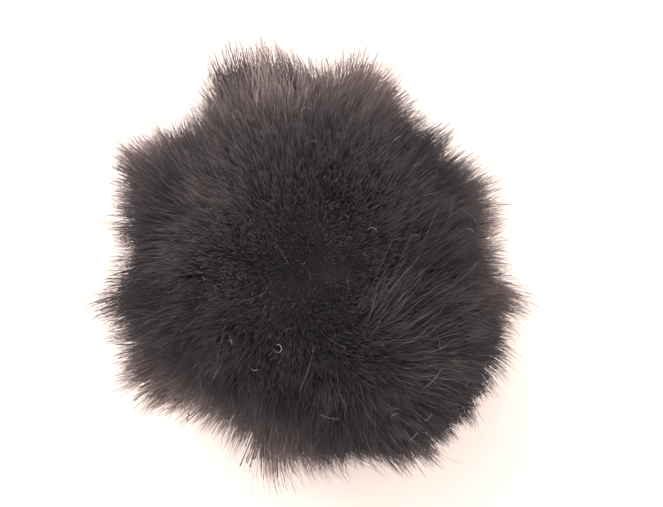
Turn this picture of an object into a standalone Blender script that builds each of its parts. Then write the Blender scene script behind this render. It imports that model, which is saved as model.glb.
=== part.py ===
"""A fur pom pom resting on a surface, as the one closed solid that its pile fills to the tips.

Run it with blender --background --python part.py. Metres, +Z up. The origin is on the flat spot that
the ball rests on, below the middle of its box. Bearings turn from +X towards +Y, and tilts rise from
the level plane through the ball's centre.
"""

import math
import random
from collections import namedtuple

import bpy
import numpy as np

MM = 0.001

# Driving dimensions.
REACH = 46.0 * MM  # from the ball's centre to the tips of the pile, before any tuft
CENTRE_HEIGHT = 43.4 * MM  # less than REACH, because the pile gives way where the ball rests
FACET_SUBDIVISIONS = 5  # facets a little over 3 mm long

# The small tufts that cover the whole ball, evenly and then shifted about.
SMALL_TUFTS = 120
SMALL_SPREAD = 7.0  # degrees
SMALL_RISE = 2.4 * MM
SMALL_RISE_VARIES = 0.6  # as a share of SMALL_RISE
SMALL_SHIFT = 0.10  # on a ball of radius 1
SEED = 11

# The large tufts and partings that make the ball uneven. A parting has a rise below nothing.
Tuft = namedtuple("Tuft", "bearing tilt spread rise")
LARGE_TUFTS = (
    Tuft(bearing=305, tilt=0, spread=26, rise=5.6 * MM),
    Tuft(bearing=334, tilt=6, spread=14, rise=1.8 * MM),
    Tuft(bearing=10, tilt=6, spread=13, rise=-3.0 * MM),
    Tuft(bearing=43, tilt=10, spread=14, rise=-3.2 * MM),
    Tuft(bearing=73, tilt=12, spread=9, rise=1.8 * MM),
    Tuft(bearing=107, tilt=12, spread=15, rise=4.6 * MM),
    Tuft(bearing=129, tilt=10, spread=7, rise=-4.2 * MM),
    Tuft(bearing=149, tilt=10, spread=13, rise=3.6 * MM),
    Tuft(bearing=174, tilt=8, spread=7, rise=-3.4 * MM),
    Tuft(bearing=196, tilt=6, spread=14, rise=3.0 * MM),
    Tuft(bearing=213, tilt=4, spread=9, rise=2.2 * MM),
    Tuft(bearing=232, tilt=14, spread=8, rise=-4.4 * MM),
    Tuft(bearing=233, tilt=-8, spread=9, rise=-4.8 * MM),
    Tuft(bearing=250, tilt=0, spread=12, rise=-1.0 * MM),
    Tuft(bearing=270, tilt=66, spread=15, rise=-2.4 * MM),
    Tuft(bearing=85, tilt=50, spread=24, rise=1.8 * MM),
    Tuft(bearing=160, tilt=52, spread=18, rise=-1.2 * MM),
    Tuft(bearing=215, tilt=36, spread=16, rise=1.4 * MM),
    Tuft(bearing=345, tilt=42, spread=18, rise=1.2 * MM),
)

# Below this tilt the tufts die out, so that the ball rests on an even spot.
TUFTS_FADE_FROM = -35
TUFTS_GONE_BY = -62


def clear_scene():
    for obj in list(bpy.data.objects):
        bpy.data.objects.remove(obj)


def direction(bearing, tilt):
    """The unit vector at a bearing and a tilt, both in degrees."""
    level = math.cos(math.radians(tilt))
    return np.array(
        (
            level * math.cos(math.radians(bearing)),
            level * math.sin(math.radians(bearing)),
            math.sin(math.radians(tilt)),
        )
    )


def small_tufts():
    """(direction, spread, rise) of each small tuft, on a golden spiral from the top to the underside."""
    rng = random.Random(SEED)
    golden_turn = math.degrees(math.pi * (3 - math.sqrt(5)))
    tufts = []
    for i in range(SMALL_TUFTS):
        tilt = math.degrees(math.asin(1 - 2 * (i + 0.5) / SMALL_TUFTS))
        at = direction(i * golden_turn, tilt)
        at += [rng.uniform(-SMALL_SHIFT, SMALL_SHIFT) for _ in range(3)]
        rise = SMALL_RISE * (1 + rng.uniform(-SMALL_RISE_VARIES, SMALL_RISE_VARIES))
        tufts.append((at / np.linalg.norm(at), SMALL_SPREAD, rise))
    return tufts


def large_tufts():
    """(direction, spread, rise) of each row of the table."""
    return [(direction(row.bearing, row.tilt), row.spread, row.rise) for row in LARGE_TUFTS]


def reach_of(towards):
    """From the ball's centre to the tips of the pile, in each of these directions."""
    total = np.zeros(len(towards))
    for at, spread, rise in small_tufts() + large_tufts():
        apart = np.degrees(np.arccos(np.clip(towards @ at, -1, 1)))
        total += rise * np.exp(-((apart / spread) ** 2))
    tilt = np.degrees(np.arcsin(np.clip(towards[:, 2], -1, 1)))
    kept = np.clip((tilt - TUFTS_GONE_BY) / (TUFTS_FADE_FROM - TUFTS_GONE_BY), 0, 1)
    return REACH + kept * total


def make_ball():
    """An even ball of facets, each corner then moved out to the tips of the pile there."""
    bpy.ops.mesh.primitive_ico_sphere_add(subdivisions=FACET_SUBDIVISIONS, radius=1.0)
    ball = bpy.context.object
    ball.name = ball.data.name = "pom_pom"
    corners = np.array([vertex.co for vertex in ball.data.vertices])
    towards = corners / np.linalg.norm(corners, axis=1, keepdims=True)
    return ball, towards * reach_of(towards)[:, None]


def rest_on_flat_spot(corners):
    """Presses the underside flat, and stands the middle of the ball's box over the origin."""
    corners[:, 2] = np.maximum(corners[:, 2] + CENTRE_HEIGHT, 0.0)
    corners[:, :2] -= (corners[:, :2].min(axis=0) + corners[:, :2].max(axis=0)) / 2


def black_fur():
    material = bpy.data.materials.new("black_fur")
    material.use_nodes = True
    shader = material.node_tree.nodes["Principled BSDF"]
    shader.inputs["Base Color"].default_value = (0.022, 0.018, 0.020, 1.0)
    shader.inputs["Roughness"].default_value = 0.6
    shader.inputs["Metallic"].default_value = 0.0
    return material


clear_scene()
pom_pom, corners = make_ball()
rest_on_flat_spot(corners)
pom_pom.data.vertices.foreach_set("co", corners.ravel())
pom_pom.data.update()
pom_pom.data.materials.append(black_fur())
pom_pom.data.shade_smooth()
pom_pom.data.set_sharp_from_angle(angle=math.radians(50))
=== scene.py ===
# %% [markdown]
# # A black fur pom pom
#
# The real thing is a ball of long fur fibres. They are rooted close to its middle, stand out on every
# side and end in a soft, uneven outline. Fur never stands evenly. Its fibres cling together in fine
# points, the points lean together in locks, and the locks gather in tufts with partings between them.
#
# This lesson builds it from the inside out. First comes a dark mass of packed roots. Five coats grow
# over it, from a short undercoat to the guard hairs that make the outline. Last come a few wisps, some
# stray hairs and bits of lint. Every fibre is real mesh, a closed needle with three sides, so the ball
# keeps its fur in any render.

# %% Load the fixed frame
import math
from collections import namedtuple

import bpy
import numpy as np
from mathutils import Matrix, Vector
from mathutils.bvhtree import BVHTree
from mathutils.kdtree import KDTree


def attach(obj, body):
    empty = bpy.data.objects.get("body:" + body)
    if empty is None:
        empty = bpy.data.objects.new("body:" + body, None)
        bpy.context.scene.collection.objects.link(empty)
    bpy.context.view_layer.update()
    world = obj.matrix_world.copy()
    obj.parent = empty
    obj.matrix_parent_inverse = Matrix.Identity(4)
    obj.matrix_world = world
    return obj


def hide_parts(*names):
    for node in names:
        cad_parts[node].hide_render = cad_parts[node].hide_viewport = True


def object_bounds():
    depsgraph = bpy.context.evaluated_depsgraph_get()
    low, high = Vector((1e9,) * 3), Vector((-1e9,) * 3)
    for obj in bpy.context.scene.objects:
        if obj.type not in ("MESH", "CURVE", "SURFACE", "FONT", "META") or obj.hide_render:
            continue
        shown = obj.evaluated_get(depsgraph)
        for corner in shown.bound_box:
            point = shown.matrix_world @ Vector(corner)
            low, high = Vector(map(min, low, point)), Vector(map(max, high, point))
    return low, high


MM = 0.001
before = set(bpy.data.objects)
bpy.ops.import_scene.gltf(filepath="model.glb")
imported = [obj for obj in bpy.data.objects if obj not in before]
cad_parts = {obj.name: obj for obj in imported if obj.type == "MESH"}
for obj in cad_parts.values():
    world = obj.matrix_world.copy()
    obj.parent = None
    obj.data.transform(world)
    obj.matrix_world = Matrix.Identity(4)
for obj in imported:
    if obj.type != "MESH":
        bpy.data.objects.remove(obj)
cad_low, cad_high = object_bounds()
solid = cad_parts["pom_pom"]
print("ball of", [round(1000 * side, 1) for side in cad_high - cad_low], "mm")

# %% [markdown]
# ## The camera
#
# The ball is seen steeply from above, so that the camera looks down into the fur. A long lens from
# some way off keeps the outline close to that of the ball itself. The camera points at the middle of
# the ball, and a small shift sets the ball a little left of the middle of the frame.

# %% Place the camera
CAMERA_ELEVATION = 80  # degrees above the level
CAMERA_DISTANCE = 0.42
CAMERA_LENS = 93.0  # mm, on a sensor 36 mm wide
FRAME_SHIFT = (0.036, 0.018)  # as a share of the frame's width

ball_middle = (cad_low + cad_high) / 2
towards_camera = Vector(
    (0, -math.cos(math.radians(CAMERA_ELEVATION)), math.sin(math.radians(CAMERA_ELEVATION)))
)
camera_data = bpy.data.cameras.new("camera")
camera_data.lens = CAMERA_LENS
camera_data.shift_x, camera_data.shift_y = FRAME_SHIFT
camera = bpy.data.objects.new("camera", camera_data)
camera.location = ball_middle + CAMERA_DISTANCE * towards_camera
camera.rotation_euler = (-towards_camera).to_track_quat("-Z", "Y").to_euler()
bpy.context.collection.objects.link(camera)
bpy.context.scene.camera = camera
print("camera", round(1000 * CAMERA_DISTANCE), "mm from the middle of the ball")

# %% [markdown]
# ## Where the fur ends
#
# The solid that the frame gives is the ball as its pile fills it, to the tips. So each fibre needs to
# know how far the solid reaches in its own direction. A ray from the heart of the ball tells it.

# %% Measure the reach of the pile in any direction
HEART_SHARE = 0.475  # the heart's height, as a share of the ball's

heart = np.array((0.0, 0.0, cad_low.z + HEART_SHARE * (cad_high.z - cad_low.z)))
solid_tree = BVHTree.FromPolygons(
    [vertex.co for vertex in solid.data.vertices],
    [face.vertices for face in solid.data.polygons],
)


def unit(vectors):
    """Each row scaled to length 1."""
    return vectors / np.linalg.norm(vectors, axis=1, keepdims=True)


def reach(directions):
    """How far the solid reaches from the heart in each of these directions."""
    start = Vector(heart)
    return np.array([solid_tree.ray_cast(start, Vector(way))[3] for way in directions])


def direction(bearing, tilt):
    """The unit vector at a bearing, from +X towards +Y, and a tilt above the level, in degrees."""
    bearing, tilt = math.radians(bearing), math.radians(tilt)
    level = math.cos(tilt)
    return np.array((level * math.cos(bearing), level * math.sin(bearing), math.sin(tilt)))


print("the pile reaches", round(1000 * reach([direction(0, 90)])[0], 1), "mm above the heart")

# %% [markdown]
# ## Spreading things evenly
#
# Tufts, points and single fibres all need to be spread over the ball with no rows and no bald spots. A
# golden spiral does that: each next place turns by the golden angle, and a little chance hides the
# pattern. All chance comes from one seeded source, so that the ball is the same each time.

# %% Spread directions over the ball
rng = np.random.default_rng(2024)
GOLDEN_TURN = math.pi * (3 - math.sqrt(5))


def spread_evenly(count, stray):
    """Directions all round the ball on a golden spiral, moved by up to stray times their spacing."""
    height = 1 - 2 * (np.arange(count) + 0.5) / count
    level = np.sqrt(1 - height**2)
    turn = np.arange(count) * GOLDEN_TURN
    spiral = np.stack([level * np.cos(turn), level * np.sin(turn), height], axis=1)
    spacing = math.sqrt(4 * math.pi / count)
    return unit(spiral + stray * spacing * rng.uniform(-1, 1, (count, 3)))


def fade(directions, centre, spread):
    """1 at the centre, falling away softly over a spread in degrees."""
    return np.exp(-2 * (1 - directions @ centre) / math.radians(spread) ** 2)


# %% [markdown]
# ## Which way the fur leans
#
# Three things push the fur over. It is brushed away from one crown on every side. Handling has swept a
# few broad locks aside, which a short table names. Soft waves of two sizes run through the rest, and
# each wave also makes its fur a little longer or shorter and darker or lighter.
#
# Near the crown the fur stands up, as even as plush, so everything that disturbs it is damped there, and
# its tone is painted darker there as painted shade. Further out, the tips are painted paler, down to the
# widest part of the ball, as painted light on the rim. Below that the fur is painted dark again, as
# painted shade.

# %% Name the broad sweeps
CROWN = direction(275, 77)  # where the fur parts and is brushed away on every side
CALM = 30  # degrees from the crown within which the fur stands up and ends evenly, like plush
STEADY = 70  # degrees from the crown within which the waves hardly part the fur
STEADIED = 0.85  # the share of the waves' push that is lost at the crown
BRUSHED = 10.5 * MM  # how far the tips are brushed, a quarter turn from the crown
MEAN_REACH = 47.0 * MM
RIM_LIT_FROM, RIM_LIT_TO = 38, 75  # degrees from the crown over which the tips are painted pale, as painted light on the rim
UNDER_FROM, UNDER_TO = 86, 112  # degrees from the crown over which they are painted dark again, as painted shade underneath
RIM_LIGHT_PALER, UNDER_SHADE = 0.28, -0.20  # painted light and painted shade, each as a step of tone, from 0 for cool black to 1 for faded

Sweep = namedtuple("Sweep", "bearing tilt spread towards_bearing towards_tilt push")
SWEEPS = (
    Sweep(317, 55, spread=14, towards_bearing=341, towards_tilt=58, push=10 * MM),
    Sweep(324, 36, spread=16, towards_bearing=339, towards_tilt=42, push=7 * MM),
    Sweep(316, 25, spread=10, towards_bearing=328, towards_tilt=37, push=4 * MM),
    Sweep(352, 47, spread=16, towards_bearing=12, towards_tilt=48, push=7 * MM),
    Sweep(19, 31, spread=12, towards_bearing=35, towards_tilt=20, push=4 * MM),
    Sweep(51, 37, spread=9, towards_bearing=42, towards_tilt=12, push=5 * MM),
    Sweep(75, 32, spread=9, towards_bearing=63, towards_tilt=9, push=3 * MM),
    Sweep(124, 29, spread=9, towards_bearing=111, towards_tilt=9, push=4 * MM),
    Sweep(138, 23, spread=8, towards_bearing=147, towards_tilt=6, push=4 * MM),
    Sweep(155, 38, spread=12, towards_bearing=136, towards_tilt=32, push=4 * MM),
    Sweep(222, 14, spread=9, towards_bearing=212, towards_tilt=-5, push=5 * MM),
)
print(len(SWEEPS), "sweeps")

# %% [markdown]
# The outline of the ball isn't round either. A second table names the tufts that stand out from it and
# the notches between them. Each changes the length of its fur by a share of the ball's reach, and makes
# it paler or darker: painted light where a tuft catches the light, and painted shade in the notches and
# on the shaded side. A notch would be hidden by the fur behind it, so the deep ones have a second row
# further down.

# %% Name the tufts and notches of the outline
Tuft = namedtuple("Tuft", "bearing tilt spread longer paler")
TUFTS = (
    Tuft(2, 2, spread=5, longer=-0.29, paler=0.0),
    Tuft(22, 8, spread=10, longer=0.11, paler=0.0),
    Tuft(44, -8, spread=9, longer=-0.22, paler=0.0),
    Tuft(45, 10, spread=10, longer=-0.52, paler=0.0),
    Tuft(53, 10, spread=5, longer=0.15, paler=0.0),
    Tuft(65, 10, spread=6, longer=-0.085, paler=0.0),
    Tuft(75, 12, spread=7, longer=0.14, paler=0.15),
    Tuft(84, 12, spread=5, longer=-0.18, paler=-0.1),
    Tuft(91, 12, spread=4, longer=0.03, paler=0.0),
    Tuft(101, 12, spread=6, longer=0.06, paler=0.0),
    Tuft(113, 12, spread=8, longer=0.115, paler=0.1),
    Tuft(121, 12, spread=4, longer=0.07, paler=0.0),
    Tuft(128, 12, spread=6, longer=-0.195, paler=-0.25),
    Tuft(128, 30, spread=7, longer=-0.03, paler=-0.25),
    Tuft(129, -4, spread=6, longer=-0.12, paler=0.0),
    Tuft(144, 15, spread=7, longer=0.04, paler=0.42),
    Tuft(151, 8, spread=11, longer=0.134, paler=0.2),
    Tuft(166, 6, spread=5, longer=0.105, paler=0.1),
    Tuft(179, 4, spread=7, longer=-0.415, paler=-0.15),
    Tuft(180, -10, spread=7, longer=-0.18, paler=0.0),
    Tuft(189, 2, spread=4, longer=0.225, paler=0.0),
    Tuft(198, 0, spread=5, longer=-0.225, paler=-0.15),
    Tuft(203, 0, spread=3, longer=0.03, paler=0.0),
    Tuft(216, -2, spread=9, longer=0.162, paler=-0.05),
    Tuft(225, -3, spread=3, longer=0.03, paler=0.0),
    Tuft(232, -4, spread=3, longer=-0.03, paler=0.0),
    Tuft(238, -4, spread=6, longer=0.025, paler=-0.1),
    Tuft(241, -4, spread=3, longer=0.04, paler=0.0),
    Tuft(249, -4, spread=6, longer=-0.43, paler=-0.1),
    Tuft(249, -17, spread=6, longer=-0.18, paler=0.0),
    Tuft(256, -6, spread=5, longer=0.372, paler=0.05),
    Tuft(264, -6, spread=4, longer=-0.125, paler=0.0),
    Tuft(276, -6, spread=6, longer=0.06, paler=0.0),
    Tuft(294, -6, spread=6, longer=0.07, paler=0.0),
    Tuft(308, -4, spread=5, longer=-0.022, paler=0.0),
    Tuft(315, -2, spread=18, longer=0.098, paler=-0.22),
    Tuft(331, 2, spread=8, longer=0.095, paler=0.0),
    Tuft(338, 2, spread=4, longer=0.09, paler=0.0),
    Tuft(353, 2, spread=6, longer=0.155, paler=0.0),
)
print(len(TUFTS), "tufts and notches")

# %% [markdown]
# Other patches keep their length and only differ in tone. They are painted light and shade: paler where
# the fur catches the light, and darker on the shaded side and in hollows. They get a table of their own.

# %% Name the paler and darker patches
Patch = namedtuple("Patch", "bearing tilt spread paler")
LIGHT_AND_SHADE_PATCHES = (
    Patch(0, 36, spread=11, paler=0.1),
    Patch(8, 14, spread=14, paler=0.26),
    Patch(40, 42, spread=14, paler=-0.15),
    Patch(45, 38, spread=14, paler=-0.3),
    Patch(55, 8, spread=14, paler=0.15),
    Patch(69, 43, spread=8, paler=0.15),
    Patch(74, 30, spread=9, paler=0.25),
    Patch(98, 60, spread=12, paler=0.2),
    Patch(98, 20, spread=15, paler=-0.3),
    Patch(104, 30, spread=11, paler=0.16),
    Patch(138, 22, spread=9, paler=0.22),
    Patch(140, 48, spread=12, paler=0.18),
    Patch(149, 67, spread=14, paler=0.26),
    Patch(150, 30, spread=11, paler=-0.14),
    Patch(176, 38, spread=15, paler=-0.44),
    Patch(186, 42, spread=12, paler=0.1),
    Patch(186, 6, spread=10, paler=0.15),
    Patch(190, 26, spread=16, paler=-0.34),
    Patch(197, 58, spread=12, paler=0.12),
    Patch(216, 34, spread=16, paler=-0.15),
    Patch(228, 22, spread=18, paler=-0.4),
    Patch(234, 52, spread=12, paler=0.14),
    Patch(262, 30, spread=20, paler=-0.2),
    Patch(272, 22, spread=13, paler=-0.12),
    Patch(288, 20, spread=18, paler=-0.3),
    Patch(305, 52, spread=12, paler=0.08),
    Patch(318, 32, spread=16, paler=0.1),
    Patch(318, 10, spread=18, paler=-0.15),
    Patch(330, 29, spread=9, paler=0.12),
)
print(len(LIGHT_AND_SHADE_PATCHES), "patches")

# %% [markdown]
# A soft wave has a centre, and its push fades away from there. There are well over a thousand of them,
# so they are added up for a few thousand directions at a time, which keeps the arrays small.


# %% Spread the soft waves
class Waves:
    """Soft waves spread over the ball: each pushes its fur one way and changes its length and tone."""

    def __init__(self, count, spread, push, length, tone):
        self.centres = spread_evenly(count, stray=0.45)
        self.spread = spread
        self.push = push / MEAN_REACH * rng.normal(size=(count, 3))
        self.length = length * rng.normal(size=count)
        self.tone = tone * rng.normal(size=count)

    def at(self, directions):
        """The push, the change of length and the change of tone, a few thousand directions at a time."""
        found = []
        for some in np.array_split(directions, 1 + len(directions) // 4000):
            share = fade(some, self.centres.T, self.spread)
            found.append((share @ self.push, share @ self.length, share @ self.tone))
        return [np.concatenate(values) for values in zip(*found)]


broad_waves = Waves(120, spread=13, push=7.0 * MM, length=0.018, tone=0.18)
small_waves = Waves(1400, spread=3.6, push=1.8 * MM, length=0.010, tone=0.05)
print(len(broad_waves.centres), "broad waves and", len(small_waves.centres), "small ones")

# %% [markdown]
# Now all that leans the fur is added up. A push that points out of the ball or into it does nothing, so
# only the part along the ball is kept.


# %% Add up the pushes
def lean(directions):
    """The push in each direction, along the ball, with the change of length and of tone there."""
    broad_push, broad_length, broad_tone = broad_waves.at(directions)
    small_push, small_length, small_tone = small_waves.at(directions)
    calm = fade(directions, CROWN, CALM)[:, None]
    steady = fade(directions, CROWN, STEADY)[:, None]
    push = (1 - STEADIED * steady) * (broad_push + small_push)
    push = push - (1 - calm) * BRUSHED / MEAN_REACH * CROWN
    for sweep in SWEEPS:
        start = direction(sweep.bearing, sweep.tilt)
        way = unit([direction(sweep.towards_bearing, sweep.towards_tilt) - start])
        push += fade(directions, start, sweep.spread)[:, None] * way * sweep.push / MEAN_REACH
    push -= directions * (push * directions).sum(axis=1, keepdims=True)
    from_crown = np.degrees(np.arccos(np.clip(directions @ CROWN, -1, 1)))
    rim_lit = np.clip((from_crown - RIM_LIT_FROM) / (RIM_LIT_TO - RIM_LIT_FROM), 0, 1) ** 2
    under = np.clip((from_crown - UNDER_FROM) / (UNDER_TO - UNDER_FROM), 0, 1)
    length, tone = broad_length + small_length, broad_tone + small_tone
    # painted light on the rim down to the widest part, and painted shade below it
    tone += RIM_LIGHT_PALER * rim_lit * (1 - under) + UNDER_SHADE * under
    # painted light on tufts that catch the light, and painted shade in the notches
    for tuft in TUFTS:
        share = fade(directions, direction(tuft.bearing, tuft.tilt), tuft.spread)
        length += share * tuft.longer
        tone += share * tuft.paler
    # painted light and shade, patch by patch
    for patch in LIGHT_AND_SHADE_PATCHES:
        tone += fade(directions, direction(patch.bearing, patch.tilt), patch.spread) * patch.paler
    return push, length, tone


print("towards +X the fur is pushed by", np.round(lean(np.array([(1.0, 0.0, 0.0)]))[0][0], 2))

# %% [markdown]
# ## Locks and points
#
# The tips of neighbouring fibres cling together in fine points, a millimetre or so apart, and the points
# hang together in locks. The fibres of one lock lean the same way and end at about the same height, and
# so do those of one point. A tree of centres quickly finds the nearest one for each fibre. Lengths are
# given as shares of the ball's reach, and tones as steps from 0 for cool black to 1 for faded.


# %% Make a tree that finds the nearest
def tree_of(ways):
    """A tree that finds the nearest of these directions."""
    tree = KDTree(len(ways))
    for number, way in enumerate(ways):
        tree.insert(way, number)
    tree.balance()
    return tree


def nearest(tree, ways):
    """The number of the nearest direction in the tree, for each of these."""
    return np.array([tree.find(way)[1] for way in ways])


print("nearest to straight up:", nearest(tree_of([(1, 0, 0), (0, 0, 1)]), [(0, 0, 1)])[0])

# %% Lay out the locks and the points
LOCKS = 1300
LOCK_LEAN = 2.1 * MM  # how far a lock's tips lean aside
LOCK_LENGTH, LOCK_TONE = 0.023, 0.12  # how much the locks differ
LOCK_PULL = 0.7  # how far the points of a lock lean together, as a share of the way to its middle
POINTS = 60000
POINT_LEAN = 0.2 * MM
POINT_LENGTH, POINT_TONE = 0.010, 0.022
POINT_PULL = (0.0, 0.4)  # how far the fibres of a point lean together, from the loosest to the tightest
CALM_PUSH, CALM_LENGTH, CALM_TONE = 0.5, 0.6, 0.75  # the share of each that is lost at the crown
CROWN_PAINTED_SHADE = 0.30  # how much darker the crown is painted, as painted shade in the upright fur

lock_ways = spread_evenly(LOCKS, stray=0.5)
lock_push = LOCK_LEAN / MEAN_REACH * rng.normal(size=(LOCKS, 3))
lock_length = LOCK_LENGTH * rng.normal(size=LOCKS)
lock_tone = LOCK_TONE * rng.normal(size=LOCKS)

point_ways = spread_evenly(POINTS, stray=0.5)
own_lock = nearest(tree_of(lock_ways), point_ways)
point_push, point_length, point_tone = lean(point_ways)
point_push += lock_push[own_lock] + POINT_LEAN / MEAN_REACH * rng.normal(size=(POINTS, 3))
point_push += LOCK_PULL * (lock_ways[own_lock] - point_ways)
point_length += lock_length[own_lock] + POINT_LENGTH * rng.normal(size=POINTS)
point_tone += lock_tone[own_lock] + POINT_TONE * rng.normal(size=POINTS)
point_calm = fade(point_ways, CROWN, CALM)
point_push *= (1 - CALM_PUSH * point_calm)[:, None]
point_length *= 1 - CALM_LENGTH * point_calm
# painted shade: the crown's tone is made darker
point_tone = (1 - CALM_TONE * point_calm) * point_tone - CROWN_PAINTED_SHADE * point_calm**2
point_pull = rng.uniform(*POINT_PULL, POINTS)
point_tree = tree_of(point_ways)
print(POINTS, "points in", LOCKS, "locks")

# %% [markdown]
# ## One fibre
#
# A fibre starts straight out of the ball and then bends over the way its point leans. Three places set
# its curve: the root, a bend straight above the root, and the tip. Half of the lean moves the tip one
# way and half moves the root the other way, so that the tips stay evenly spread. Some fibres are loose:
# they belong to no point and stray a little from their neighbours. At the crown all of them are loose
# and end at nearly the same height. In two places the longest hairs are worn off, and no hair anywhere
# is longer than the longest that the fur grows. A coat is one layer of fibres, with a row of values.

# %% Shape the line of each fibre
BEND_SHARE = 0.55  # the height of the bend between root and tip
BEND_LEAN = 0.25  # the lean of the bend, as a share of the tip's
SINK = 0.35  # how much a fibre that leans over sinks, for the square of its lean
WAVER = 0.25 * MM  # how far a fibre wavers from its curve
LONGEST = 62.2 * MM  # from the heart
FIBRE_CLEARANCE = 0.2 * MM  # how far a fibre's line stays above the surface that the ball lies on
CLUNG_STRAY = 0.25  # what a fibre in a point strays, as a share of what a loose one does
CALM_STRAY = 0.65  # the share of all straying that is lost at the crown
PLUSH_HEIGHT, PLUSH_EVEN = 0.96, 0.7  # where the tips end at the crown, and how evenly
TRIMMED, TRIM_HEIGHT = 0.85, 0.98  # how much is worn off of what stands above which height
BASE_TONE, OWN_TONE = 0.35, 0.030  # the tone of the whole ball, and how much single fibres differ
HIGHLIGHT_SHARE, HIGHLIGHT_PALER = 0.015, 0.35  # how many fibres are painted paler as painted highlights, and by how much
CALM_OWN_TONE = 0.8  # the share of that difference that is lost at the crown

Coat = namedtuple("Coat", "name count root shortest longest radii steps lean loose stray material")
Trim = namedtuple("Trim", "bearing tilt spread")
TRIMS = (Trim(312, 6, spread=42), Trim(147, 9, spread=13))


def fibre_lines(coat, directions, tip_share):
    """Points along each fibre of a coat: an array of fibres x steps x 3, and the fibres' tones."""
    at = nearest(point_tree, directions)
    calm = fade(directions, CROWN, CALM)
    loose = rng.random(coat.count) < coat.loose + calm
    pull = np.where(loose, 0.0, point_pull[at])
    push = coat.lean * point_push[at]
    strays = np.where(loose, coat.stray, CLUNG_STRAY * coat.stray) * (1 - CALM_STRAY * calm)
    jitter = strays[:, None] * rng.normal(size=(coat.count, 3))
    gathered = pull[:, None] * (point_ways[at] - directions)
    tip_way = unit(directions + push / 2 + gathered + jitter)
    root_way = unit(directions - push / 2)
    full = reach(tip_way)
    root_length = coat.root * full
    root = heart + root_way * root_length[:, None]
    trims = [fade(directions, direction(trim.bearing, trim.tilt), trim.spread) for trim in TRIMS]
    trimmed = TRIMMED * np.max(trims, axis=0)
    above = tip_share - TRIM_HEIGHT
    tip_share = np.where(above > 0, tip_share - trimmed * above, tip_share)
    tip_share = tip_share + PLUSH_EVEN * calm * (PLUSH_HEIGHT - tip_share)
    tip_length = full * (tip_share + point_length[at] - SINK * (push**2).sum(axis=1))
    tip_length = np.minimum(tip_length, LONGEST)
    tip = heart + tip_way * tip_length[:, None]
    bend_way = unit((1 - BEND_LEAN) * root_way + BEND_LEAN * tip_way)
    bend_length = root_length + BEND_SHARE * (tip_length - root_length)
    bend = heart + bend_way * bend_length[:, None]
    line = [(1 - t) ** 2 * root + 2 * t * (1 - t) * bend + t * t * tip for t in coat.steps]
    line = np.stack(line, axis=1)
    wavers = WAVER * np.array([4 * t * (1 - t) for t in coat.steps])
    line += wavers[None, :, None] * rng.normal(size=line.shape)
    line[:, :, 2] = np.maximum(line[:, :, 2], cad_low.z + FIBRE_CLEARANCE)
    own_tone = OWN_TONE * rng.normal(size=coat.count)
    # painted highlights: a few fibres are painted paler
    own_tone += HIGHLIGHT_PALER * (rng.random(coat.count) < HIGHLIGHT_SHARE)
    return line, BASE_TONE + point_tone[at] + (1 - CALM_OWN_TONE * calm) * own_tone


print("no fibre ends more than", round(LONGEST / MM, 1), "mm from the heart")

# %% [markdown]
# ## From a line to a needle
#
# A needle closes to a point at its root, with a ring of three corners at each step after it. Its far end
# also closes to a point, or it is cut blunt, as trimmed fur is. Thousands of needles go into one mesh,
# whose arrays are filled in one go. Each needle also gets a place on a colour chart: across the chart
# runs the fibre's tone, and up it runs root to tip. The materials read their colour off this chart, which
# is a UV map.

# %% Draw the faces of one needle
SIDES = 3


def needle_faces(rings, blunt):
    """The corners of one needle's triangles. Corner 0 is the root."""
    faces = []
    last = 1 + (rings - 1) * SIDES
    for side in range(SIDES):
        after = (side + 1) % SIDES
        faces.append((0, 1 + after, 1 + side))
        for ring in range(rings - 1):
            low, high = 1 + ring * SIDES, 1 + (ring + 1) * SIDES
            faces.append((low + side, low + after, high + after))
            faces.append((low + side, high + after, high + side))
        if not blunt:
            faces.append((last + side, last + after, last + SIDES))
    if blunt:
        faces.append((last, last + 1, last + 2))
    return np.array(faces)


print("a short blunt needle has", len(needle_faces(rings=1, blunt=True)), "triangles")

# %% Place the corners of the needles
CHART = "OFBake"
CHART_EDGE = 0.001  # nothing comes closer to the edge of the chart
CHART_SIDESTEPS = (-0.001, 0.0, 0.001)  # for each side, so that no face is a mere line on the chart
CHART_DROPS = (0.0, 0.02, 0.0)  # the same, down the chart, for the face that closes a blunt end


def side_ways(line):
    """Two directions square to each fibre at each step."""
    along = np.gradient(line, axis=1)
    along /= np.linalg.norm(along, axis=2, keepdims=True)
    across = np.cross(along, rng.normal(size=(len(line), 1, 3)))
    across /= np.linalg.norm(across, axis=2, keepdims=True)
    return across, np.cross(along, across)


def needle_corners(line, radii, steps, tone, blunt):
    """The corners of each needle, and their places on the chart."""
    count = len(line)
    first, second = side_ways(line)
    corners = [line[:, :1]]
    chart = [np.stack([tone, np.full(count, steps[0])], axis=1)[:, None]]
    for ring, radius in enumerate(radii, start=1):
        for side in range(SIDES):
            turn = 2 * math.pi * side / SIDES
            away = math.cos(turn) * first[:, ring] + math.sin(turn) * second[:, ring]
            corners.append((line[:, ring] + radius[:, None] * away)[:, None])
            up = np.full(count, steps[ring] - CHART_DROPS[side])
            chart.append(np.stack([tone + CHART_SIDESTEPS[side], up], axis=1)[:, None])
    if not blunt:
        corners.append(line[:, -1:])
        chart.append(np.stack([tone, np.full(count, steps[-1])], axis=1)[:, None])
    chart = np.clip(np.concatenate(chart, axis=1), CHART_EDGE, 1 - CHART_EDGE)
    return np.concatenate(corners, axis=1), chart


print("the chart is the UV map", CHART)


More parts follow.
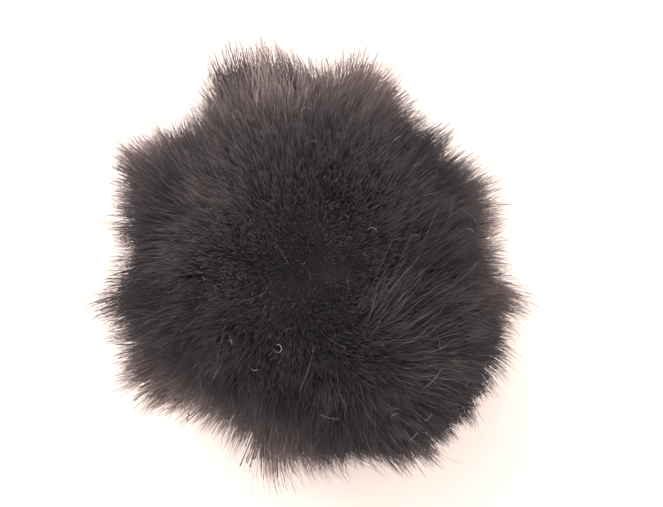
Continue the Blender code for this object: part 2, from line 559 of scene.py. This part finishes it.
# %% Join the needles in one mesh
def needles(name, line, radii, steps, tone, material):
    """One mesh of closed needles along these lines. A needle with a radius for its last step is blunt."""
    count, rings = len(line), len(radii)
    blunt = len(steps) == rings + 1
    corners, chart = needle_corners(line, radii, steps, tone, blunt)
    each = corners.shape[1]
    pattern = needle_faces(rings, blunt)
    faces = (pattern[None] + each * np.arange(count)[:, None, None]).reshape(-1, 3)
    mesh = bpy.data.meshes.new(name)
    mesh.vertices.add(count * each)
    mesh.vertices.foreach_set("co", corners.astype(np.float32).ravel())
    mesh.loops.add(faces.size)
    mesh.loops.foreach_set("vertex_index", faces.astype(np.int32).ravel())
    mesh.polygons.add(len(faces))
    mesh.polygons.foreach_set("loop_start", np.arange(0, faces.size, 3, dtype=np.int32))
    mesh.update(calc_edges=True)
    layer = mesh.uv_layers.new(name=CHART)
    layer.uv.foreach_set("vector", chart.reshape(-1, 2)[faces.ravel()].astype(np.float32).ravel())
    mesh.shade_smooth()
    mesh.materials.append(material)
    piece = bpy.data.objects.new(name, mesh)
    bpy.context.collection.objects.link(piece)
    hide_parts("pom_pom")
    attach(piece, "root")
    print(f"{name}: {count} fibres, {len(faces)} triangles")


# %% [markdown]
# ## The colour of the fur
#
# Black fur isn't one black. The lower part of each fibre is an even, cool black. In the coats it is
# painted paler than the coolest tips, as painted light that lifts the shade deep in the fur. Its upper
# half goes over to the colour of the tip, partly the fibre's own tint and partly painted light that
# stands for light shining through the tips, and whole tufts have cooler, greyer, warmer or more faded
# tips than their neighbours. A node group holds that effect. It reads the chart, and it is placed in each
# material with that material's colours.

# %% Make the shared tone group
TO_MIDDLE, TO_TIP = (0.1, 0.5), (0.50, 0.92)  # where up the chart each colour gives way to the next
TO_GREY, TO_WARM, TO_FADED = (0.10, 0.45), (0.45, 0.80), (0.80, 1.0)  # the same, across the chart
ROUGH_COOL, ROUGH_FADED = 0.60, 0.44


def make_tone_group():
    """Root to tip up the chart, and cool to faded across it."""
    group = bpy.data.node_groups.new("Fur tone", "ShaderNodeTree")
    for name in ("Root", "Middle", "Cool tip", "Grey tip", "Warm tip", "Faded tip"):
        group.interface.new_socket(name, in_out="INPUT", socket_type="NodeSocketColor")
    group.interface.new_socket("Colour", in_out="OUTPUT", socket_type="NodeSocketColor")
    group.interface.new_socket("Roughness", in_out="OUTPUT", socket_type="NodeSocketFloat")
    nodes, links = group.nodes, group.links
    inputs = nodes.new("NodeGroupInput")
    outputs = nodes.new("NodeGroupOutput")
    chart = nodes.new("ShaderNodeUVMap")
    chart.uv_map = CHART
    place = nodes.new("ShaderNodeSeparateXYZ")
    links.new(chart.outputs["UV"], place.inputs["Vector"])

    def mix(factor, low, high):
        node = nodes.new("ShaderNodeMix")
        node.data_type = "RGBA"
        links.new(factor, node.inputs["Factor"])
        links.new(low, node.inputs["A"])
        links.new(high, node.inputs["B"])
        return node.outputs["Result"]

    def ramp(value, start, end):
        node = nodes.new("ShaderNodeMapRange")
        node.interpolation_type = "SMOOTHSTEP"
        node.inputs["From Min"].default_value = start
        node.inputs["From Max"].default_value = end
        links.new(value, node.inputs["Value"])
        return node.outputs["Result"]

    across, up = place.outputs["X"], place.outputs["Y"]
    tip = mix(ramp(across, *TO_GREY), inputs.outputs["Cool tip"], inputs.outputs["Grey tip"])
    tip = mix(ramp(across, *TO_WARM), tip, inputs.outputs["Warm tip"])
    tip = mix(ramp(across, *TO_FADED), tip, inputs.outputs["Faded tip"])
    body = mix(ramp(up, *TO_MIDDLE), inputs.outputs["Root"], inputs.outputs["Middle"])
    whole = mix(ramp(up, *TO_TIP), body, tip)
    links.new(whole, outputs.inputs["Colour"])
    rough = nodes.new("ShaderNodeMapRange")
    rough.inputs["To Min"].default_value = ROUGH_COOL
    rough.inputs["To Max"].default_value = ROUGH_FADED
    links.new(across, rough.inputs["Value"])
    links.new(rough.outputs["Result"], outputs.inputs["Roughness"])
    return group


tone_group = make_tone_group()
print("the tone group holds", len(tone_group.nodes), "nodes")

# %% [markdown]
# The undercoat is the evenest and greyest: its colours are painted paler than the other coats', as
# painted light that lifts the shade between the fibres. The short hairs above it and the long guard hairs
# differ more from root to tip. Wisps and strays are paler hairs, painted pale as painted highlights, and
# the lint is a pale cotton.

# %% Give each coat its colours
FUR_SPECULAR = 0.15


def fur_material(name, **colours):
    """A fur finish that takes its colour and gloss from the tone group."""
    material = bpy.data.materials.new(name)
    material.use_nodes = True
    nodes, links = material.node_tree.nodes, material.node_tree.links
    shader = nodes["Principled BSDF"]
    shader.inputs["Specular IOR Level"].default_value = FUR_SPECULAR
    tone = nodes.new("ShaderNodeGroup")
    tone.node_tree = tone_group
    for socket, colour in colours.items():
        tone.inputs[socket.replace("_", " ")].default_value = (*colour, 1)
    links.new(tone.outputs["Colour"], shader.inputs["Base Color"])
    links.new(tone.outputs["Roughness"], shader.inputs["Roughness"])
    return material


# painted light: Root and Middle are paler than the Cool tip, to lift the shade deep in the fur
guard_fur = fur_material(
    "guard_fur",
    Root=(0.046, 0.040, 0.048),
    Middle=(0.037, 0.030, 0.035),
    Cool_tip=(0.034, 0.030, 0.035),
    Grey_tip=(0.084, 0.067, 0.069),
    Warm_tip=(0.190, 0.141, 0.134),
    Faded_tip=(0.40, 0.32, 0.30),
)
short_fur = fur_material(
    "short_fur",
    Root=(0.046, 0.040, 0.048),
    Middle=(0.047, 0.039, 0.045),
    Cool_tip=(0.036, 0.032, 0.037),
    Grey_tip=(0.070, 0.056, 0.059),
    Warm_tip=(0.140, 0.102, 0.099),
    Faded_tip=(0.26, 0.20, 0.19),
)
# painted light: the undercoat is painted paler to lift the shade between the fibres
under_fur = fur_material(
    "under_fur",
    Root=(0.062, 0.053, 0.064),
    Middle=(0.068, 0.058, 0.068),
    Cool_tip=(0.058, 0.050, 0.060),
    Grey_tip=(0.070, 0.059, 0.065),
    Warm_tip=(0.086, 0.065, 0.066),
    Faded_tip=(0.14, 0.10, 0.10),
)
# painted highlight: the wisps and strays are painted paler than the fur around them
highlight_hair = fur_material(
    "highlight_hair",
    Root=(0.034, 0.028, 0.031),
    Middle=(0.075, 0.062, 0.062),
    Cool_tip=(0.085, 0.074, 0.078),
    Grey_tip=(0.120, 0.100, 0.098),
    Warm_tip=(0.180, 0.130, 0.122),
    Faded_tip=(0.30, 0.24, 0.22),
)
pale_lint = fur_material(
    "pale_lint",
    Root=(0.16, 0.15, 0.18),
    Middle=(0.21, 0.19, 0.22),
    Cool_tip=(0.19, 0.18, 0.25),
    Grey_tip=(0.24, 0.22, 0.23),
    Warm_tip=(0.29, 0.24, 0.22),
    Faded_tip=(0.40, 0.36, 0.34),
)
print("materials", guard_fur.name, short_fur.name, under_fur.name, highlight_hair.name, pale_lint.name)

# %% [markdown]
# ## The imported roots
#
# Near the middle of the ball the fibres stand so close that nothing shows between them. Making each of
# them there would cost much and show nothing, so that mass is one bumpy ball, well below the tips. It
# comes up higher under the crown, where the camera looks straight down between the fibres. A fine grain
# on it passes for the ends and shadows of the fibres that it stands for.

# %% Add the mass of packed roots
ROOT_MASS_SHARE = 0.78  # of the reach of the pile
CROWN_FILLED = 0.108  # how much higher it comes under the crown, as a share of that reach
CROWN_EVEN = 0.8  # the share of its bumps that is lost there

bpy.ops.object.select_all(action="DESELECT")
bpy.ops.mesh.primitive_ico_sphere_add(subdivisions=5, radius=1.0)
root_mass = bpy.context.object
root_mass.name = root_mass.data.name = "packed_roots"
ways = unit(np.array([vertex.co for vertex in root_mass.data.vertices]))
_, uneven, _ = lean(ways)
calm = fade(ways, CROWN, CALM)
filled = ROOT_MASS_SHARE + (1 - CROWN_EVEN * calm) * uneven + CROWN_FILLED * calm
places = heart + ways * (reach(ways) * filled)[:, None]
root_mass.data.vertices.foreach_set("co", places.astype(np.float32).ravel())
root_mass.data.update()
bpy.ops.object.shade_smooth()
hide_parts("pom_pom")
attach(root_mass, "root")
print("packed roots:", len(root_mass.data.polygons), "triangles")

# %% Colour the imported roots
ROOT_GRAIN = 2400  # specks for each metre
ROOT_DARK, ROOT_PALE = (0.019, 0.016, 0.020, 1), (0.035, 0.030, 0.036, 1)
DARK_UP_TO, PALE_FROM = 0.35, 0.65  # of the grain's height

root_black = bpy.data.materials.new("root_black")
root_black.use_nodes = True
root_nodes, root_links = root_black.node_tree.nodes, root_black.node_tree.links
root_shader = root_nodes["Principled BSDF"]
root_shader.inputs["Specular IOR Level"].default_value = 0.1
root_place = root_nodes.new("ShaderNodeTexCoord")
root_noise = root_nodes.new("ShaderNodeTexNoise")
root_noise.inputs["Scale"].default_value = ROOT_GRAIN
root_ramp = root_nodes.new("ShaderNodeValToRGB")
root_ramp.color_ramp.elements[0].position = DARK_UP_TO
root_ramp.color_ramp.elements[1].position = PALE_FROM
root_ramp.color_ramp.elements[0].color = ROOT_DARK
root_ramp.color_ramp.elements[1].color = ROOT_PALE
root_links.new(root_place.outputs["Object"], root_noise.inputs["Vector"])
root_links.new(root_noise.outputs["Fac"], root_ramp.inputs["Fac"])
root_links.new(root_ramp.outputs["Color"], root_shader.inputs["Base Color"])
root_shader.inputs["Roughness"].default_value = 0.9
root_mass.data.materials.clear()
root_mass.data.materials.append(root_black)
print("coloured", root_mass.name, "with", root_black.name)

# %% [markdown]
# ## The coats
#
# Like an animal's, this fur has a short, dense undercoat that closes the partings, and longer and finer
# hairs above it. The table below gives each coat its place: where its roots are and where its shortest
# and longest hairs end, as shares of the pile's reach, and the radii of its hairs in millimetres. A coat
# with a smaller lean follows the sweeps less, and a coat with a larger loose share gathers less in
# points. The short coats are straight and cut blunt. The longer hairs, which make the outline, bend and
# end in a point.

# %% Grow the coats
BLUNT = (0.0, 1.0)
ONE_RING = (0.0, 0.82, 1.0)
COATS = (
    Coat("undercoat", 49000, 0.70, 0.80, 0.92, (0.155,), BLUNT, 0.6, 0.7, 0.07, under_fur),
    Coat("fuzz", 49000, 0.78, 0.86, 0.97, (0.055,), BLUNT, 0.85, 1.0, 0.08, short_fur),
    Coat("middle_hairs", 49000, 0.76, 0.85, 0.975, (0.054,), BLUNT, 1.0, 0.4, 0.035, short_fur),
    Coat("long_hairs", 33000, 0.72, 0.88, 1.09, (0.050,), ONE_RING, 1.0, 0.35, 0.035, guard_fur),
    Coat("guard_hairs", 32000, 0.71, 0.92, 1.165, (0.045,), ONE_RING, 1.0, 0.4, 0.03, guard_fur),
)
CROWN_FINER = 0.3  # how much finer the hairs are at the crown
WIDTHS = (0.7, 1.3)  # from the finest to the thickest hair, as a share of a coat's radius

for coat in COATS:
    ways = spread_evenly(coat.count, stray=0.5)
    tips = rng.uniform(coat.shortest, coat.longest, coat.count)
    line, tone = fibre_lines(coat, ways, tips)
    width = rng.uniform(*WIDTHS, coat.count) * (1 - CROWN_FINER * fade(ways, CROWN, CALM)) * MM
    radii = [width * radius for radius in coat.radii]
    needles(coat.name, line, radii, coat.steps, tone, coat.material)

# %% [markdown]
# ## Wisps and strays
#
# Here and there a wisp of long hairs lies over the rest, painted paler as a painted highlight. The table
# names where each wisp starts and where it ends. Single strays, painted pale the same way, cross the
# others anywhere on the ball.

# %% Name the wisps
Wisp = namedtuple("Wisp", "bearing tilt towards_bearing towards_tilt spread")
WISPS = (
    Wisp(294, 51, towards_bearing=340, towards_tilt=61, spread=5),
    Wisp(296, 50, towards_bearing=337, towards_tilt=43, spread=7),
    Wisp(300, 46, towards_bearing=334, towards_tilt=26, spread=7),
    Wisp(303, 42, towards_bearing=327, towards_tilt=8, spread=6),
    Wisp(298, 36, towards_bearing=313, towards_tilt=4, spread=7),
    Wisp(290, 32, towards_bearing=300, towards_tilt=6, spread=7),
    Wisp(76, 45, towards_bearing=72, towards_tilt=20, spread=5),
    Wisp(49, 49, towards_bearing=50, towards_tilt=18, spread=7),
    Wisp(128, 45, towards_bearing=120, towards_tilt=15, spread=6),
    Wisp(209, 38, towards_bearing=205, towards_tilt=9, spread=6),
    Wisp(175, 42, towards_bearing=178, towards_tilt=12, spread=7),
)
WISP_HAIRS = 44
WISP_FROM = (0.0, 0.5)  # where along its wisp a hair starts
WISP_COVERS = (0.35, 0.6)  # how much of its wisp it covers
WISP_ROOT, WISP_TIP = 0.92, (0.98, 1.05)  # how high its hairs start and end, as shares of the reach
STRAYS = 200
STRAY_ROOT, STRAY_TIP = 0.88, (1.02, 1.16)
STRAY_BRUSHED, STRAY_SPREAD = 0.1, 7  # how far strays are brushed from the crown, and stray in degrees
LONG_STEPS = (0.0, 0.35, 0.7, 0.9, 1.0)
LONG_RADII = (0.040, 0.046, 0.034)  # mm
LONG_WIDTHS = (0.7, 1.2)
TONES = (0.1, 0.9)  # from the coolest to the warmest
CLEARANCE = 0.3 * MM  # above the surface that the ball lies on


def scatter(ways, spread):
    """These directions, each moved a little by chance, by a spread in degrees."""
    return unit(ways + math.radians(spread) * rng.normal(size=np.shape(ways)))


def lines_over(starts, ends, low, high, steps):
    """Lines that run over the ball between two directions each, and rise from a low to a high share."""
    places = []
    for step in steps:
        ways = unit((1 - step) * starts + step * ends)
        share = low + (high - low) * step
        places.append(heart + ways * (reach(ways) * share)[:, None])
    return np.stack(places, axis=1)


print(len(WISPS), "wisps of", WISP_HAIRS, "hairs and", STRAYS, "strays")

# %% Lay the wisps and the strays
starts = np.repeat([direction(wisp.bearing, wisp.tilt) for wisp in WISPS], WISP_HAIRS, axis=0)
ends = np.repeat([direction(w.towards_bearing, w.towards_tilt) for w in WISPS], WISP_HAIRS, axis=0)
spreads = np.repeat([wisp.spread for wisp in WISPS], WISP_HAIRS)[:, None]
shift = np.radians(spreads) * rng.normal(size=starts.shape)
from_share = rng.uniform(*WISP_FROM, len(starts))[:, None]
to_share = from_share + rng.uniform(*WISP_COVERS, len(starts))[:, None]
wisp_starts = scatter(unit(starts + from_share * (ends - starts) + 0.5 * shift), 1)
wisp_ends = scatter(unit(starts + to_share * (ends - starts) + shift), 1)
stray_starts = spread_evenly(STRAYS, stray=0.5)
stray_ends = scatter(unit(stray_starts - STRAY_BRUSHED * CROWN), STRAY_SPREAD)
starts, ends = np.concatenate([wisp_starts, stray_starts]), np.concatenate([wisp_ends, stray_ends])
low = np.concatenate([np.full(len(wisp_starts), WISP_ROOT), np.full(STRAYS, STRAY_ROOT)])
high = np.concatenate([rng.uniform(*WISP_TIP, len(wisp_starts)), rng.uniform(*STRAY_TIP, STRAYS)])
line = lines_over(starts, ends, low, high, LONG_STEPS)
line[:, 1:-1] += WAVER * rng.normal(size=line[:, 1:-1].shape)
line[:, :, 2] = np.maximum(line[:, :, 2], cad_low.z + CLEARANCE)
width = rng.uniform(*LONG_WIDTHS, len(line)) * MM
radii = [width * radius for radius in LONG_RADII]
tone = rng.uniform(*TONES, len(line))
# painted highlight colours for the wisps and strays
needles("wisps_and_strays", line, radii, LONG_STEPS, tone, highlight_hair)

# %% [markdown]
# ## Lint
#
# Black fur gathers pale lint: short straight or curled fibres and specks that cling near the surface. A
# table names the ones on top by their heading, length and curl, and chance adds a few more all round.

# %% Name the lint and draw its curls
Lint = namedtuple("Lint", "bearing tilt heading length curl")
LINT = (
    Lint(255, 56, heading=70, length=5.0 * MM, curl=300),
    Lint(262, 81, heading=30, length=1.4 * MM, curl=90),
    Lint(338, 73, heading=80, length=1.1 * MM, curl=60),
    Lint(248, 48, heading=20, length=2.0 * MM, curl=120),
    Lint(234, 52, heading=140, length=1.6 * MM, curl=60),
    Lint(321, 18, heading=60, length=4.0 * MM, curl=170),
    Lint(4, 42, heading=75, length=3.6 * MM, curl=90),
    Lint(91, 51, heading=20, length=4.5 * MM, curl=200),
    Lint(87, 64, heading=10, length=4.5 * MM, curl=110),
    Lint(20, 52, heading=90, length=5.0 * MM, curl=10),
    Lint(49, 49, heading=85, length=4.0 * MM, curl=12),
    Lint(35, 51, heading=95, length=2.5 * MM, curl=10),
    Lint(300, 17, heading=35, length=3.5 * MM, curl=15),
    Lint(277, 33, heading=-35, length=6.0 * MM, curl=12),
    Lint(306, 20, heading=15, length=3.0 * MM, curl=10),
    Lint(313, 31, heading=5, length=7.0 * MM, curl=25),
)
MORE_LINT = 14
CURL_STEPS = (0.0, 0.12, 0.28, 0.44, 0.6, 0.76, 0.9, 1.0)
LINT_RADII = (0.05, 0.07, 0.07, 0.07, 0.07, 0.05)  # mm
LINT_RISE, LINT_WAVE = 0.15, 7  # how steeply a piece of lint leaves the fur, and how soon it comes back


def lint_line(lint):
    """A curve in the plane that touches the ball, lying just on the tips of the fur."""
    out = direction(lint.bearing, lint.tilt)
    east = unit(np.cross([(0.0, 0.0, 1.0)], [out]))[0]
    north = np.cross(out, east)
    middle = heart + out * reach([out])[0]
    place = np.zeros(3)
    line = [place]
    for before, after in zip(CURL_STEPS[:-1], CURL_STEPS[1:]):
        halfway = (before + after) / 2
        heading = math.radians(lint.heading + lint.curl * (halfway - 0.5))
        rise = LINT_RISE * math.sin(LINT_WAVE * halfway)
        way = math.cos(heading) * east + math.sin(heading) * north + rise * out
        place = place + (after - before) * lint.length * way
        line.append(place)
    line = np.array(line)
    return middle + line - line.mean(axis=0)


print(len(LINT), "pieces of lint named, and", MORE_LINT, "more")

# %% Scatter the lint
more_ways = spread_evenly(MORE_LINT, stray=0.5)
more_lint = [
    Lint(
        bearing=math.degrees(math.atan2(way[1], way[0])),
        tilt=math.degrees(math.asin(way[2])),
        heading=rng.uniform(0, 180),
        length=rng.uniform(1.5, 5.0) * MM,
        curl=rng.uniform(10, 200),
    )
    for way in more_ways
]
line = np.array([lint_line(lint) for lint in list(LINT) + more_lint])
line[:, :, 2] = np.maximum(line[:, :, 2], cad_low.z + CLEARANCE)
width = rng.uniform(*WIDTHS, len(line)) * MM
radii = [width * radius for radius in LINT_RADII]
needles("lint", line, radii, CURL_STEPS, rng.uniform(*TONES, len(line)), pale_lint)

# %% [markdown]
# ## The stage
#
# The ball lies on a plain white surface under soft light, bright enough to wash the surface out to
# white. Only the soft shade close under the ball keeps a trace of warm colour. A wide window light comes
# from behind on the left, and a weak fill light from above. The walls of the white room are brighter
# than its ceiling, so the rim of the fur catches more light than the crown.

# %% Lay the floor
FLOOR_SIDE = 4.0

bpy.ops.object.select_all(action="DESELECT")
bpy.ops.mesh.primitive_plane_add(size=FLOOR_SIDE, location=(0, 0, cad_low.z))
floor = bpy.context.object
floor.name = "floor"
floor_white = bpy.data.materials.new("floor_white")
floor_white.use_nodes = True
floor_shader = floor_white.node_tree.nodes["Principled BSDF"]
floor_shader.inputs["Base Color"].default_value = (0.95, 0.79, 0.72, 1)
floor_shader.inputs["Roughness"].default_value = 0.9
floor_shader.inputs["Specular IOR Level"].default_value = 0.2
floor.data.materials.append(floor_white)
print("floor", FLOOR_SIDE, "m wide")

# %% Light it softly
Light = namedtuple("Light", "name place size watts colour")  # place is from the middle of the ball
LIGHTS = (
    Light("window", place=(-0.59, 0.81, 1.03), size=1.35, watts=26.0, colour=(1.0, 0.99, 0.97)),
    Light("fill", place=(0.05, -0.25, 1.40), size=0.8, watts=9.5, colour=(1.0, 0.97, 0.95)),
)
for light in LIGHTS:
    light_data = bpy.data.lights.new(light.name, "AREA")
    light_data.size = light.size
    light_data.energy = light.watts
    light_data.color = light.colour
    lamp = bpy.data.objects.new(light.name, light_data)
    lamp.location = ball_middle + Vector(light.place)
    lamp.rotation_euler = Vector(light.place).to_track_quat("Z", "Y").to_euler()
    bpy.context.collection.objects.link(lamp)
print(len(LIGHTS), "lights")

# %% Put a white room round it
WALLS, CEILING = (1.65, 1.61, 1.58, 1), (0.70, 0.70, 0.72, 1)
ROOM_STRENGTH = 1.05

world = bpy.data.worlds.new("white_room")
world.use_nodes = True
world_nodes, world_links = world.node_tree.nodes, world.node_tree.links
room_place = world_nodes.new("ShaderNodeTexCoord")
room_height = world_nodes.new("ShaderNodeSeparateXYZ")
room_ramp = world_nodes.new("ShaderNodeValToRGB")
room_ramp.color_ramp.elements[0].color = WALLS
room_ramp.color_ramp.elements[1].color = CEILING
world_links.new(room_place.outputs["Generated"], room_height.inputs["Vector"])
world_links.new(room_height.outputs["Z"], room_ramp.inputs["Fac"])
world_links.new(room_ramp.outputs["Color"], world_nodes["Background"].inputs["Color"])
world_nodes["Background"].inputs["Strength"].default_value = ROOM_STRENGTH
bpy.context.scene.world = world
bpy.context.scene.view_settings.view_transform = "Standard"
print("the room is", world.name)
